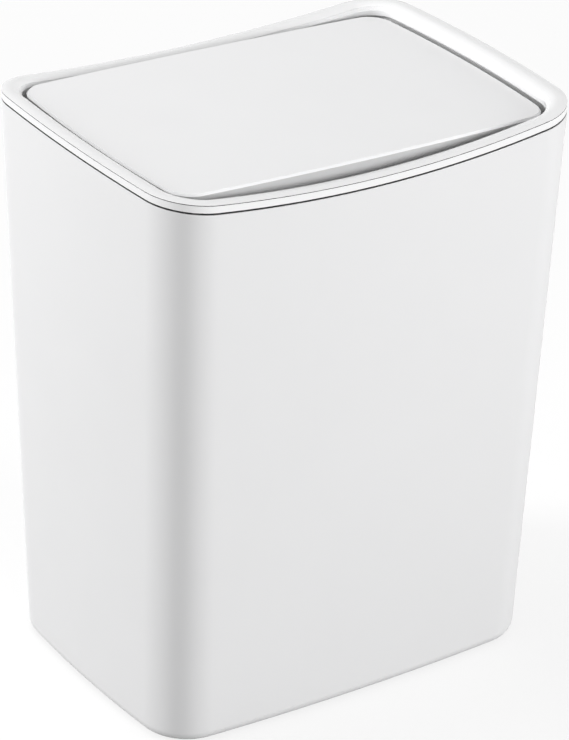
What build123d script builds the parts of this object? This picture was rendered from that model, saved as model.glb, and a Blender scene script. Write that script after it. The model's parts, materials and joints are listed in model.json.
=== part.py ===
from build123d import *
import math
import os

# Touch top kitchen bin, in millimetres.
# +Z is up and the origin is the middle of the base. The pressed front edge of the flap faces -Y,
# the hinge lies along X at the back.

# Bin body
body_height = 374.0  # seam height at the front and back edges
rim_half_w = 114.6  # half width of the rim, at the seam
rim_half_d = 152.3  # half depth of the rim, at the seam
base_half_w = 101.7
base_half_d = 142.6
side_bow = 5.88  # how far each side swells between its corners
corner_r = 33.4
rim_dip = 10.72  # the rim is a saddle: how far it dips in the middle of the long sides
wall = 2.4
floor_t = 3.0
base_edge_r = 7.85
floor_edge_r = 6.0
foot_h = 3.0  # depth of the hollow under the base
foot_w = 7.0  # width of the ring that the bin stands on
foot_rib_w = 2.0
foot_rib_lift = 0.8  # the ribs under the base end this far above the ground
foot_rib_step = 60.0

# Lid frame
seam_gap = 1.1  # dark line between the rim of the body and the frame
band_top = 5.0  # height above the seam where the lower shell ends
crease = 0.3  # fine line between the lower shell and the cap
band_t = 1.8
flange_in = 1.5  # the flange starts this far inside the outline
seat_gap = 0.3
flange_t = 2.0
plug_gap = 0.35  # between the wall of the body and the skirt that plugs into it
plug_t = 2.0
plug_h = 34.0  # the skirt reaches this far below the seam's ends
well_wall_in = 10.5  # inset of the wall round the flap
well_wall_t = 2.0
ledge_drop = 21.0  # the ledge lies this far below the seam's ends
ledge_t = 2.2
mouth_side_in = 26.6  # from the rim to the side of the mouth
mouth_front_in = 46.3  # from the rim to the front of the mouth
mouth_bow = 2.94
mouth_corner_r = 14.0
mouth_lip_h = 8.0
mouth_lip_t = 2.0
rib_t = 1.6
rib_step = 36.0
rib_drop = 24.0  # the ribs between the walls end this far below the seam's ends
rib_gap = 1.0  # the ribs are drawn this far into the walls beside them

# Bar across the frame that carries the hinge, and the window where the flap's tail swings down
bar_front = 15.5
bar_back = 0.5  # behind the hinge, clear of the tail's edge when the flap stands open
bar_wall_h = 5.0
bar_wall_t = 2.0
tail_in = 12.5  # inset of the window's round back
tail_side_gap = 0.6

# Cap of the frame, its section measured inwards from the outline and upwards from the seam
cap_edge_r = 0.8
cap_edge_z = 5.7  # where the rounded outer edge goes over into the dome
cap_peak_in = 6.6
cap_peak = 5.95
cap_step_in = 10.8
cap_step_z = 4.35
cap_step = 0.25
cap_inner_in = 12.8
cap_inner_top = 3.2
cap_lip_bottom = -0.8
cap_lip_t = 1.6
cap_t = 1.6
spigot_gap = 0.1
spigot_seat = 0.08  # the spigot ends this far above the flange
spigot_t = 1.5

# Flap
flap_in_w = 18.2  # from the rim to the side of the flap
flap_in_d = 14.5  # from the rim to the front of the flap
flap_bow_w = 3.0
flap_bow_d = 5.0
flap_corner_r = 17.2
flap_bevel_in = 1.2
flap_bevel_h = 1.5
flap_drop = 1.0  # the middle of the flap lies this far below the seam's ends
flap_tilt = 0.8  # degrees, front edge up
flap_plate_t = 2.2
flap_skirt_h = 12.0
flap_skirt_t = 2.0
tail_skirt_h = 6.2
tail_cut = 12.5  # the low skirt of the tail starts this far in front of the hinge
liner_gap = 0.2
liner_plate_t = 2.0
liner_drop = 9.0  # underside of the liner, below the top of the flap
liner_wall_t = 1.8
liner_end = 8.5  # the liner ends this far in front of the hinge
liner_panel_h = 0.7
liner_panel_in = 16.0
liner_panel_front = 16.0  # from the strike plate to the liner's panel
liner_panel_back = 8.0  # from the liner's panel to the end of the liner
boss_r = 3.4
liner_screw_in = 18.4  # from the side of the flap to its screws
liner_screw_front = 18.0  # from the latch to the first row of screws
liner_screw_back = 24.0  # from the end of the liner to the last row

# Hinge
hinge_in = 35.3  # from the back of the rim to the hinge
hinge_drop = 8.0  # the hinge lies this far below the middle of the flap
rod_r = 2.0
bore_gap = 0.05
knuckle_r = 3.7
knuckle_w = 8.0
knuckle_in_x = 30.0  # inner face of the inner knuckle
hinge_side_gap = 0.4
bracket_w = 8.0
bracket_head_r = 3.6
bracket_foot_w = 22.0
bracket_foot_t = 2.5
bracket_foot_d = 11.0
bracket_foot_end = 2.0  # the foot ends this far in front of the hinge
bracket_step = 1.0
bracket_shoulder = 0.9  # how far up its head the web meets it, as a share of the radius
clip_t = 1.0
clip_r = 3.6
clip_groove = 0.4
clip_mouth = 2.56
rod_tail = 1.5
rod_edge = 0.4

# Hinge springs
spring_wire = 1.0
spring_r = 3.5
spring_pitch = 1.5
spring_turns = 4
spring_knuckle_gap = 1.6
spring_moving_leg = 22.0
spring_fixed_angle = 145.0  # degrees round the coil where the fixed leg leaves it

# Touch latch, its heights measured from the top of the ledge
latch_in = 30.3  # from the front of the rim to the latch
plunger_side = 9.0
slide_gap = 0.2
latch_wall = 2.3
latch_flange_w = 31.0
latch_flange_d = 21.0
latch_flange_t = 2.0
latch_depth = 35.0
latch_screw_x = 11.8
plunger_drop = 23.0
plunger_bore_r = 3.5
plunger_bore_drop = 9.5
plunger_head_r = 6.2
plunger_head_lift = 4.4
plunger_overlap = 1.0
magnet_r = 4.2
magnet_t = 3.0
magnet_proud = 1.0
strike_gap = 0.3
strike_w = 26.0
strike_d = 14.0
strike_t = 1.2
strike_corner_r = 2.3
strike_pad = 1.0
rivet_x = 9.5
rivet_r = 1.5
rivet_head_r = 2.4
rivet_head_t = 0.6
latch_spring_wire = 0.8
latch_spring_r = 2.7
latch_spring_turns = 7

# Latch cam and its wire follower
press_travel = 1.6  # how far the plunger goes down when the flap is pressed
release_travel = 5.5  # how far it then rises
cam_depth = 1.1
cam_w = 6.6
pin_wire_r = 0.5
pin_bend_r = 0.6
pin_tip_drop = 2.0
pin_pivot_drop = 20.0
pin_slot_w = 7.4
pin_recess = 1.3
latch_cover_t = 1.5
heart_w = 1.6
heart_h = 3.8
heart_shift = 1.1  # the pin stands this far to the side of the heart's notch

# Screws
screw_r = 1.4
screw_hole_gap = 0.05
screw_head_r = 2.8
screw_head_t = 1.7
screw_head_edge = 0.68
screw_head_gap = 0.2
screw_len = 8.0
ledge_boss_r = 3.2
ledge_boss_h = 6.5

# Places that follow from the sizes above
plug_bottom = body_height - plug_h
ledge_top = body_height - ledge_drop
rib_bottom = body_height - rib_drop
flap_half_w = rim_half_w - flap_in_w
flap_half_d = rim_half_d - flap_in_d
flap_mid_z = body_height - flap_drop
hinge_y = rim_half_d - hinge_in
hinge_z = flap_mid_z - hinge_drop
latch_y = latch_in - rim_half_d
mouth_half_w = rim_half_w - mouth_side_in
mouth_front = mouth_front_in - rim_half_d
mouth_back = hinge_y - bar_front
liner_back = hinge_y - liner_end
bracket_back = hinge_y - bracket_foot_end
bracket_front = bracket_back - bracket_foot_d
plunger_bottom = ledge_top - plunger_drop
plunger_bore_top = ledge_top - plunger_bore_drop
plunger_head_z = ledge_top + plunger_head_lift
pin_tip_z = ledge_top - pin_tip_drop
pin_pivot_z = ledge_top - pin_pivot_drop

FAR = 3 * max(body_height, rim_half_d)  # longer than anything here, for cutters
PAST = wall / 2  # how far a cutter runs past what it cuts


# Outlines and levels


def outline(half_w, half_d, bow_w, bow_d, corner, inset=0.0, z=0.0):
    """A closed outline of four bowed sides and four round corners, drawn in all round by inset."""
    long_r = (half_d**2 + bow_w**2) / (2 * bow_w)
    short_r = (half_w**2 + bow_d**2) / (2 * bow_d)
    ax, by = half_w - long_r, half_d - short_r
    a, b = long_r - corner, short_r - corner
    d = math.hypot(ax, by)
    along = (a * a - b * b + d * d) / (2 * d)
    off = math.sqrt(a * a - along * along)
    ux, uy = -ax / d, by / d
    cx = ax + along * ux + off * abs(uy)
    cy = along * uy + off * abs(ux)
    to_long = Vector(cx - ax, cy).normalized()
    to_short = Vector(cx, cy - by).normalized()
    long_end = Vector(ax, 0) + to_long * (long_r - inset)
    short_end = Vector(0, by) + to_short * (short_r - inset)
    mid = Vector(cx, cy) + (to_long + to_short).normalized() * (corner - inset)

    def at(p, sx, sy):
        return (sx * p.X, sy * p.Y, z)

    side, end = Vector(half_w - inset, 0), Vector(0, half_d - inset)
    edges = [
        ThreePointArc(at(long_end, 1, -1), at(side, 1, 1), at(long_end, 1, 1)),
        ThreePointArc(at(long_end, 1, 1), at(mid, 1, 1), at(short_end, 1, 1)),
        ThreePointArc(at(short_end, 1, 1), at(end, 1, 1), at(short_end, -1, 1)),
        ThreePointArc(at(short_end, -1, 1), at(mid, -1, 1), at(long_end, -1, 1)),
        ThreePointArc(at(long_end, -1, 1), at(side, -1, 1), at(long_end, -1, -1)),
        ThreePointArc(at(long_end, -1, -1), at(mid, -1, -1), at(short_end, -1, -1)),
        ThreePointArc(at(short_end, -1, -1), at(end, 1, -1), at(short_end, 1, -1)),
        ThreePointArc(at(short_end, 1, -1), at(mid, 1, -1), at(long_end, 1, -1)),
    ]
    return Wire([e.edge() for e in edges])


def rim_outline(inset=0.0, z=0.0):
    return outline(rim_half_w, rim_half_d, side_bow, side_bow, corner_r, inset, z)


def rim_block(inset, low, high):
    """The outline of the rim, drawn in by inset, from one height to another."""
    return extrude(Face(rim_outline(inset, low)), high - low, dir=(0, 0, 1))


def body_block(inset, low, high):
    """The tapered form of the body, drawn in by inset, from one height to another."""
    top_half_w = base_half_w + (rim_half_w - base_half_w) * body_height / (body_height - rim_dip)

    def section(z):
        share = z / body_height
        half_w = base_half_w + (top_half_w - base_half_w) * share
        half_d = base_half_d + (rim_half_d - base_half_d) * share
        return outline(half_w, half_d, side_bow, side_bow, corner_r, inset, z)

    return Solid.make_loft([section(low), section(high)], ruled=True)


saddle_r = (rim_half_d**2 + rim_dip**2) / (2 * rim_dip)


def above(height):
    """Everything that lies more than height above the seam, which is a saddle across X."""
    axis_z = body_height - rim_dip + saddle_r + height
    return Pos(0, 0, axis_z) * Cylinder(saddle_r, FAR, rotation=(0, 90, 0))


def box(x, y, z):
    """A block between two limits on each axis."""
    return Pos((x[0] + x[1]) / 2, (y[0] + y[1]) / 2, (z[0] + z[1]) / 2) * Box(
        x[1] - x[0], y[1] - y[0], z[1] - z[0]
    )


def post(x, y, r, low, high):
    """An upright round post."""
    return Pos(x, y, (low + high) / 2) * Cylinder(r, high - low)


def x_bar(y, z, r, x0, x1):
    """A round bar along X."""
    return Pos((x0 + x1) / 2, y, z) * Cylinder(r, x1 - x0, rotation=(0, 90, 0))


def steps(step, limit):
    """Places from the middle outwards, one step apart, as far as the limit."""
    count = int(limit // step)
    return [i * step for i in range(-count, count + 1)]


def cross_ribs(width, x_places, y_places, z):
    """Upright ribs across the whole plan, at places along X and along Y."""
    half = width / 2
    ribs = [box((x - half, x + half), (-FAR, FAR), z) for x in x_places]
    return Part() + ribs + [box((-FAR, FAR), (y - half, y + half), z) for y in y_places]


# Bin body


def make_bin_body():
    outer = body_block(0, 0, body_height)
    outer = fillet(outer.edges().group_by(Axis.Z)[0], base_edge_r)
    floor_z = foot_h + floor_t
    hollow = body_block(wall, floor_z, body_height + wall)
    hollow = fillet(hollow.edges().group_by(Axis.Z)[0], floor_edge_r)
    under = Face(outline(base_half_w, base_half_d, side_bow, side_bow, corner_r, base_edge_r + foot_w))
    shell = outer - hollow - extrude(under, foot_h, dir=(0, 0, 1))
    foot_in = base_edge_r + foot_w + corner_r
    across, along = steps(foot_rib_step, base_half_w - foot_in), steps(foot_rib_step, base_half_d - foot_in)
    grid = cross_ribs(foot_rib_w, across, along, (foot_rib_lift, foot_h))
    shell += grid & extrude(under, foot_h, dir=(0, 0, 1))
    return shell - above(-seam_gap / 2)


# Lid frame


def mouth(inset, low, high):
    """The opening through the ledge, drawn in by inset."""
    middle = (mouth_front + mouth_back) / 2
    half_d = (mouth_back - mouth_front) / 2
    plan = outline(mouth_half_w, half_d, mouth_bow, mouth_bow, mouth_corner_r, inset, low)
    return Pos(0, middle, 0) * extrude(Face(plan), high - low, dir=(0, 0, 1))


def tail_window(low, high):
    """The window behind the hinge's bar."""
    side = flap_half_w + tail_side_gap
    return rim_block(tail_in, low, high) & box((-side, side), (hinge_y + bar_back, FAR), (low, high))


def bracket_mid_x():
    return knuckle_in_x + knuckle_w + hinge_side_gap + bracket_w / 2


def bracket_screw_places():
    reach = bracket_foot_w / 2 - screw_head_r - hinge_side_gap
    y = (bracket_front + bracket_back) / 2 - bracket_step
    return [(side * (bracket_mid_x() + k * reach), y) for side in (-1, 1) for k in (-1, 1)]


def latch_screw_places():
    return [(side * latch_screw_x, latch_y) for side in (-1, 1)]


def latch_half():
    """Half the outer width of the latch housing."""
    return plunger_side / 2 + slide_gap + latch_wall


def make_frame_collar():
    low, high = plug_bottom, body_height + band_top
    flange_low = seat_gap - seam_gap / 2
    flange_high = flange_low + flange_t
    band = rim_block(0, low, high + PAST) - rim_block(band_t, low, high + PAST)
    band = band - above(band_top) & above(seam_gap / 2)
    flange = rim_block(flange_in, low, high) - rim_block(well_wall_in, low, high)
    flange = flange - above(flange_high) & above(flange_low)
    plug_in = wall + plug_gap
    plug = body_block(plug_in, low, high) - body_block(plug_in + plug_t, low, high)
    well_out = well_wall_in - well_wall_t
    ledge_low = ledge_top - ledge_t
    well = rim_block(well_out, ledge_low, high) - rim_block(well_wall_in, low, high)
    channel = rim_block(plug_in + rib_gap, rib_bottom, high) - rim_block(well_out + rib_gap, low, high)
    channel &= body_block(plug_in + rib_gap, low, high)
    across = steps(rib_step, rim_half_w - corner_r)
    along = steps(rib_step, rim_half_d - corner_r)
    ribs = cross_ribs(rib_t, across, along, (low, high)) & channel
    walls = (plug + well + ribs) - above(flange_high - flange_t / 2)
    ledge = rim_block(well_out, ledge_low, ledge_top) - mouth(0, low, high) - tail_window(low, high)
    lip = mouth(-mouth_lip_t, ledge_top - mouth_lip_h, ledge_top) - mouth(0, low, high)
    bar_end = hinge_y + bar_back
    bar_half = flap_half_w + tail_side_gap + bar_wall_t
    bar_wall_y = (bar_end - bar_wall_t, bar_end)
    bar_wall = box((-bar_half, bar_half), bar_wall_y, (ledge_top - bar_wall_h, ledge_top))
    collar = walls + band + flange + ledge + lip + bar_wall
    screws = bracket_screw_places() + latch_screw_places()
    boss_low = ledge_low - ledge_boss_h
    collar += [post(x, y, ledge_boss_r, boss_low, ledge_top - ledge_t / 2) for x, y in screws]
    hole_r = screw_r + screw_hole_gap
    collar -= [post(x, y, hole_r, boss_low - PAST, ledge_top + PAST) for x, y in screws]
    reach = latch_half() + slide_gap
    window_front = latch_front() - slide_gap
    return collar - box((-reach, reach), (window_front, latch_y + reach), (low, ledge_top + PAST))


def bend(start, corner, end):
    """A round bend from start to end, which lie on the two sides of a corner."""
    middle = corner + ((start - corner) + (end - corner)) * (1 - math.sqrt(0.5))
    return ThreePointArc(start, middle, end)


def cap_section(plane):
    """The section of the cap: a low dome, a fine step, a rounded inner lip and a spigot."""
    under = band_top + crease
    spigot_in = band_t + spigot_gap
    spigot_low = seat_gap - seam_gap / 2 + flange_t + spigot_seat
    lip_in = cap_inner_in - cap_lip_t
    edge_end = Vector(cap_edge_r, cap_edge_z)
    step_top, step_foot = Vector(cap_step_in, cap_step_z + cap_step), Vector(cap_step_in, cap_step_z)
    lip_start = Vector(cap_inner_in - cap_edge_r, cap_inner_top)
    lip_end = Vector(cap_inner_in, cap_inner_top - cap_edge_r)
    top = [
        bend(Vector(0, under), Vector(0, cap_edge_z), edge_end),
        ThreePointArc(edge_end, (cap_peak_in, cap_peak), step_top),
        Line(step_top, step_foot),
        Line(step_foot, lip_start),
        bend(lip_start, Vector(cap_inner_in, cap_inner_top), lip_end),
    ]
    below = Polyline(
        lip_end,
        (cap_inner_in, cap_lip_bottom),
        (lip_in, cap_lip_bottom),
        (lip_in, cap_inner_top - cap_t),
        (spigot_in + spigot_t, cap_peak - cap_t),
        (spigot_in + spigot_t, spigot_low),
        (spigot_in, spigot_low),
        (spigot_in, under),
        (0, under),
    )
    edges = [e.edge() for e in top] + list(below.edges())
    return plane * Face(Wire(edges))


def make_frame_bezel():
    cut = rim_block(0, plug_bottom, body_height + FAR / 10) - above(0)
    path = cut.faces().sort_by(Axis.Z)[-1].outer_wire()
    start, along = path @ 0, path % 0
    flat = Vector(along.X, along.Y, 0).normalized()
    inward = Vector(-flat.Y, flat.X, 0)
    if inward.dot(Vector(start.X, start.Y, 0)) > 0:
        inward = inward * -1
    plane = Plane(origin=start, x_dir=inward, z_dir=inward.cross(Vector(0, 0, 1)))
    upright = path.moved(Location((0, 0, rim_half_d)))
    return Solid.sweep(cap_section(plane), path, mode=upright)


# Flap


def flap_place():
    """Where the flap's own top face lies: local z is 0 there and falls downwards."""
    return Pos(0, 0, flap_mid_z) * Rot(X=-flap_tilt)


def flap_block(inset, low, high):
    plan = outline(flap_half_w, flap_half_d, flap_bow_w, flap_bow_d, flap_corner_r, inset, low)
    return extrude(Face(plan), high - low, dir=(0, 0, 1))


def flap_local(y, z):
    """A point of the YZ plane, in the flap's own frame."""
    a = math.radians(flap_tilt)
    dz = z - flap_mid_z
    return y * math.cos(a) - dz * math.sin(a), y * math.sin(a) + dz * math.cos(a)


def liner_screw_rows():
    front, back = latch_y + liner_screw_front, liner_back - liner_screw_back
    return front, (front + back) / 2, back


def liner_screw_places():
    x = flap_half_w - liner_screw_in
    return [(side * x, y) for side in (-1, 1) for y in liner_screw_rows()]


def make_flap_cover():
    body = flap_block(0, -flap_skirt_h, 0)
    body = chamfer(body.edges().group_by(Axis.Z)[-1], flap_bevel_h, flap_bevel_in)
    body -= flap_block(flap_skirt_t, -flap_skirt_h - PAST, -flap_plate_t)
    body -= box((-FAR, FAR), (hinge_y - tail_cut, FAR), (-FAR, -tail_skirt_h))
    boss_low = liner_plate_t - liner_drop
    places = liner_screw_places()
    body += [post(x, y, boss_r, boss_low, -flap_plate_t / 2) for x, y in places]
    hole_r = screw_r + screw_hole_gap
    body -= [post(x, y, hole_r, boss_low - PAST, -flap_plate_t) for x, y in places]
    return flap_place() * body


def knuckle_spans():
    """From and to along X for each knuckle: one on each side of both brackets."""
    outer = knuckle_in_x + knuckle_w + bracket_w + 2 * hinge_side_gap
    right = [(x, x + knuckle_w) for x in (knuckle_in_x, outer)]
    return right + [(-b, -a) for a, b in right]


def make_flap_liner():
    inset = flap_skirt_t + liner_gap
    top, floor_top = -flap_plate_t, liner_plate_t - liner_drop
    solid = flap_block(inset, -liner_drop, top) - box((-FAR, FAR), (liner_back, FAR), (-FAR, FAR))
    hollow = flap_block(inset + liner_wall_t, floor_top, top + PAST)
    body = solid - hollow
    rows = liner_screw_rows()
    wall_ends = [(a + b + liner_wall_t) / 2 for a, b in zip(rows, rows[1:])] + [liner_back]
    for end in wall_ends:
        body += solid & box((-FAR, FAR), (end - liner_wall_t, end), (-FAR, FAR))
    panel = flap_block(liner_panel_in, -liner_drop - PAST, liner_panel_h - liner_drop)
    panel_front = latch_y + strike_d / 2 + liner_panel_front
    panel_back = liner_back - liner_panel_back
    body -= panel & box((-FAR, FAR), (panel_front, panel_back), (-FAR, 0))
    y, z = flap_local(hinge_y, hinge_z)
    arm_z = (max(z - knuckle_r, -liner_drop), min(z + knuckle_r, top))
    for x0, x1 in knuckle_spans():
        body += box((x0, x1), (liner_back - liner_wall_t, y), arm_z)
        body += x_bar(y, z, knuckle_r, x0, x1)
        body -= x_bar(y, z, rod_r + bore_gap, x0 - hinge_side_gap / 2, x1 + hinge_side_gap / 2)
    body += box(
        (-strike_w / 2, strike_w / 2),
        (latch_y - strike_d / 2, latch_y + strike_d / 2),
        (-liner_drop - strike_pad, floor_top - liner_plate_t / 2),
    )
    hole_r = screw_r + screw_hole_gap
    body -= [post(x, y, hole_r, -liner_drop - PAST, top + PAST) for x, y in liner_screw_places()]
    rivet_hole_r = rivet_r + screw_hole_gap
    body -= [post(x, latch_y, rivet_hole_r, -FAR, floor_top + PAST) for x in (-rivet_x, rivet_x)]
    return flap_place() * body


def make_liner_screws():
    seat, shank_top = -liner_drop, -flap_plate_t - liner_gap
    screws = []
    for x, y in liner_screw_places():
        head = post(x, y, screw_head_r, seat - screw_head_t, seat)
        head = fillet(head.edges().group_by(Axis.Z)[0], screw_head_edge)
        screws.append((head + post(x, y, screw_r, seat - screw_head_t / 2, shank_top)).solid())
    return flap_place() * Compound(screws)


def strike_low():
    """Underside of the strike plate, below the top of the flap."""
    return -liner_drop - strike_pad - strike_t


def make_strike_plate():
    z = (strike_low(), strike_low() + strike_t)
    plate = box((-strike_w / 2, strike_w / 2), (latch_y - strike_d / 2, latch_y + strike_d / 2), z)
    plate = fillet(plate.edges().filter_by(Axis.Z), strike_corner_r)
    hole_r = rivet_r + screw_hole_gap
    plate -= [post(x, latch_y, hole_r, z[0] - PAST, z[1] + PAST) for x in (-rivet_x, rivet_x)]
    return flap_place() * plate


def make_strike_rivets():
    low, top = strike_low(), liner_plate_t - liner_drop
    rivets = []
    for x in (-rivet_x, rivet_x):
        shank = post(x, latch_y, rivet_r, low, top)
        head = post(x, latch_y, rivet_head_r, low - rivet_head_t, low)
        tail = post(x, latch_y, rivet_head_r, top, top + rivet_head_t)
        rivets.append((shank + head + tail).solid())
    return flap_place() * Compound(rivets)


# Hinge


def rod_half():
    outer = knuckle_in_x + 2 * knuckle_w + bracket_w + 2 * hinge_side_gap
    return outer + hinge_side_gap + clip_t + rod_tail


def clip_span():
    start = rod_half() - rod_tail - clip_t
    return start, start + clip_t


def make_hinge_rod():
    half = rod_half()
    rod = x_bar(hinge_y, hinge_z, rod_r, -half, half)
    rod = chamfer(rod.edges().filter_by(GeomType.CIRCLE), rod_edge)
    low, high = clip_span()
    core_r = rod_r - clip_groove
    for a, b in ((low, high), (-high, -low)):
        rod -= x_bar(hinge_y, hinge_z, rod_r + clip_t, a, b) - x_bar(hinge_y, hinge_z, core_r, a, b)
    return rod


def make_rod_clips():
    low, high = clip_span()
    clips = []
    for a, b in ((low, high), (-high, -low)):
        clip = x_bar(hinge_y, hinge_z, clip_r, a, b)
        clip -= x_bar(hinge_y, hinge_z, rod_r - clip_groove, a - PAST, b + PAST)
        mouth_y = (hinge_y - clip_mouth / 2, hinge_y + clip_mouth / 2)
        clip -= box((a - PAST, b + PAST), mouth_y, (hinge_z - FAR, hinge_z))
        clips.append(clip.solid())
    return Compound(clips)


def make_hinge_bracket(side):
    x = side * bracket_mid_x()
    foot_top = ledge_top + bracket_foot_t
    foot_x = (x - bracket_foot_w / 2, x + bracket_foot_w / 2)
    foot = box(foot_x, (bracket_front, bracket_back), (ledge_top, foot_top))
    foot = fillet(foot.edges().filter_by(Axis.Z), bracket_foot_t)
    lean = bracket_head_r * bracket_shoulder
    profile = Polyline(
        (x, bracket_front + bracket_step, ledge_top),
        (x, bracket_back, ledge_top),
        (x, bracket_back, foot_top),
        (x, hinge_y + lean, hinge_z),
        (x, hinge_y, hinge_z + lean),
        (x, bracket_front + bracket_step, foot_top),
        close=True,
    )
    web = extrude(Face(Wire(profile.edges())), bracket_w / 2, dir=(1, 0, 0), both=True)
    body = foot + web + x_bar(hinge_y, hinge_z, bracket_head_r, x - bracket_w / 2, x + bracket_w / 2)
    body -= x_bar(hinge_y, hinge_z, rod_r + bore_gap, x - bracket_w, x + bracket_w)
    holes = [p for p in bracket_screw_places() if p[0] * side > 0]
    body -= [post(a, b, screw_r + screw_hole_gap, ledge_top - PAST, hinge_z) for a, b in holes]
    return body - [post(a, b, screw_head_r + screw_head_gap, foot_top, hinge_z) for a, b in holes]


def screws_down(places, seat):
    """Pan head screws, driven downwards with their heads on seat."""
    made = []
    for x, y in places:
        head = post(x, y, screw_head_r, seat, seat + screw_head_t)
        head = fillet(head.edges().group_by(Axis.Z)[-1], screw_head_edge)
        made.append((head + post(x, y, screw_r, seat - screw_len, seat + screw_head_t / 2)).solid())
    return Compound(made)


def coil(radius, pitch, degrees, start):
    """Points of a helix along X, an eighth of a turn apart or near it, from a start angle."""
    count = 2 * round(degrees / 90)
    points = []
    for i in range(count + 1):
        turned = degrees * i / count
        angle = math.radians(start + turned)
        points.append(Vector(pitch * turned / 360, radius * math.cos(angle), radius * math.sin(angle)))
    return points


def quarter_arcs(points):
    return [ThreePointArc(*points[i : i + 3]).edge() for i in range(0, len(points) - 2, 2)]


def least_gap(points, wire):
    """Least gap between points of one coil that are more than half a turn apart."""
    ends = range(len(points))
    return min((points[i] - points[j]).length for i in ends for j in ends if j > i + 4) - wire


def make_hinge_spring(side):
    """A torsion spring round the rod: one leg under the flap's liner, one down on the ledge."""
    points = coil(spring_r, spring_pitch, spring_turns * 360 + 90 + spring_fixed_angle, -90)
    x0 = knuckle_in_x - spring_knuckle_gap - points[-1].X
    arcs = quarter_arcs(points)
    lead, tail = arcs[0] % 0, arcs[-1] % 1
    drop = (hinge_z + points[-1].Z - ledge_top - spring_wire / 2 - seat_gap) / -tail.Z
    legs = [
        Line(points[0] - lead * spring_moving_leg, points[0]).edge(),
        Line(points[-1], points[-1] + tail * drop).edge(),
    ]
    path = Wire([legs[0], *arcs, legs[1]])
    ring = Plane(origin=path @ 0, z_dir=path % 0) * Circle(spring_wire / 2)
    tube = sweep(ring, path=path)
    print("hinge spring, least gap", round(least_gap(points, spring_wire), 2))
    tube = Pos(x0, hinge_y, hinge_z) * tube
    return tube if side > 0 else mirror(tube, about=Plane.YZ)


# Touch latch


def latch_front():
    """The front face of the housing's wall, where the cover lies."""
    return latch_y - latch_half() - pin_recess


def plunger_front():
    return latch_y - plunger_side / 2


def cam_pocket():
    """A pocket in the plunger's front with a heart left standing beside the pin's track."""
    front = plunger_front()
    room = pin_wire_r + slide_gap
    z = (pin_tip_z - release_travel - room, pin_tip_z + press_travel + room)
    pocket = box((-cam_w / 2, cam_w / 2), (front - PAST, front + cam_depth), z)
    half, top = heart_w / 2, pin_tip_z - room
    heart = Polyline(
        (-heart_shift, front - PAST, top - heart_h / 5),
        (-heart_shift + half, front - PAST, top - slide_gap),
        (-heart_shift + half, front - PAST, top - heart_h / 2),
        (-heart_shift, front - PAST, top - heart_h),
        (-heart_shift - half, front - PAST, top - heart_h / 2),
        (-heart_shift - half, front - PAST, top),
        close=True,
    )
    return pocket - extrude(Face(Wire(heart.edges())), cam_depth + PAST, dir=(0, 1, 0))


def make_latch_plunger():
    half = plunger_side / 2
    shaft_top = plunger_head_z + plunger_overlap
    shaft = box((-half, half), (latch_y - half, latch_y + half), (plunger_bottom, shaft_top))
    shaft = chamfer(shaft.edges().filter_by(Axis.Z), slide_gap * 2)
    head_top = flap_under_strike() - strike_gap - magnet_proud
    head = post(0, latch_y, plunger_head_r, plunger_head_z, head_top)
    head = fillet(head.edges().group_by(Axis.Z)[-1], magnet_proud)
    seat = head_top + magnet_proud - magnet_t
    plunger = shaft + head - post(0, latch_y, magnet_r + screw_hole_gap, seat, head_top + PAST)
    plunger -= post(0, latch_y, plunger_bore_r, plunger_bottom - PAST, plunger_bore_top)
    return plunger - cam_pocket()


def flap_under_strike():
    """Height of the strike plate's underside, over the plunger's highest edge."""
    a = math.radians(flap_tilt)
    return flap_mid_z + strike_low() * math.cos(a) - (latch_y + magnet_r) * math.sin(a)


def make_latch_magnet():
    top = flap_under_strike() - strike_gap
    magnet = post(0, latch_y, magnet_r, top - magnet_t, top)
    return chamfer(magnet.edges().group_by(Axis.Z)[-1], magnet_proud / 3)


def latch_floor():
    return ledge_top - latch_depth


def make_latch_housing():
    half, front, top = latch_half(), latch_front(), ledge_top + latch_flange_t
    body = box((-half, half), (front, latch_y + half), (latch_floor(), top))
    flange_y = (latch_y - latch_flange_d / 2, latch_y + latch_flange_d / 2)
    flange = box((-latch_flange_w / 2, latch_flange_w / 2), flange_y, (ledge_top, top))
    body += fillet(flange.edges().filter_by(Axis.Z), latch_wall)
    reach = plunger_side / 2 + slide_gap
    cavity_z = (latch_floor() + latch_wall, top + PAST)
    body -= box((-reach, reach), (latch_y - reach, latch_y + reach), cavity_z)
    slot_x = (-pin_slot_w / 2, pin_slot_w / 2)
    recess_z = (pin_pivot_z - pin_recess, pin_tip_z + pin_recess)
    body -= box(slot_x, (front - PAST, front + pin_recess), recess_z)
    window_z = (pin_tip_z - pin_recess, pin_tip_z + pin_recess)
    body -= box(slot_x, (front - PAST, latch_y - reach + PAST), window_z)
    depth = pin_recess + latch_wall / 2
    pivot = Cylinder(pin_wire_r + bore_gap, depth, rotation=(90, 0, 0))
    body -= Pos(0, front + depth / 2, pin_pivot_z) * pivot
    hole_r = screw_r + screw_hole_gap
    return body - [post(x, y, hole_r, ledge_top - PAST, top + PAST) for x, y in latch_screw_places()]


def make_latch_cover():
    half, front = latch_half(), latch_front()
    z = (latch_floor(), ledge_top - ledge_t - seat_gap)
    plate = box((-half, half), (front - latch_cover_t, front), z)
    return fillet(plate.edges().group_by(Axis.Y)[0].filter_by(Axis.Z), latch_cover_t / 2)


def make_latch_pin():
    """A bent wire: it turns in the housing's wall and its tip runs in the plunger's cam."""
    y = latch_front() + pin_recess / 2
    tip_y = plunger_front() + cam_depth - slide_gap
    foot_y = latch_front() + pin_recess + latch_wall / 2 - slide_gap
    corners = [(0, foot_y, pin_pivot_z), (0, y, pin_pivot_z), (0, y, pin_tip_z), (0, tip_y, pin_tip_z)]
    path = Wire(FilletPolyline(*corners, radius=pin_bend_r).edges())
    ring = Plane(origin=path @ 0, z_dir=path % 0) * Circle(pin_wire_r)
    return sweep(ring, path=path)


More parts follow.
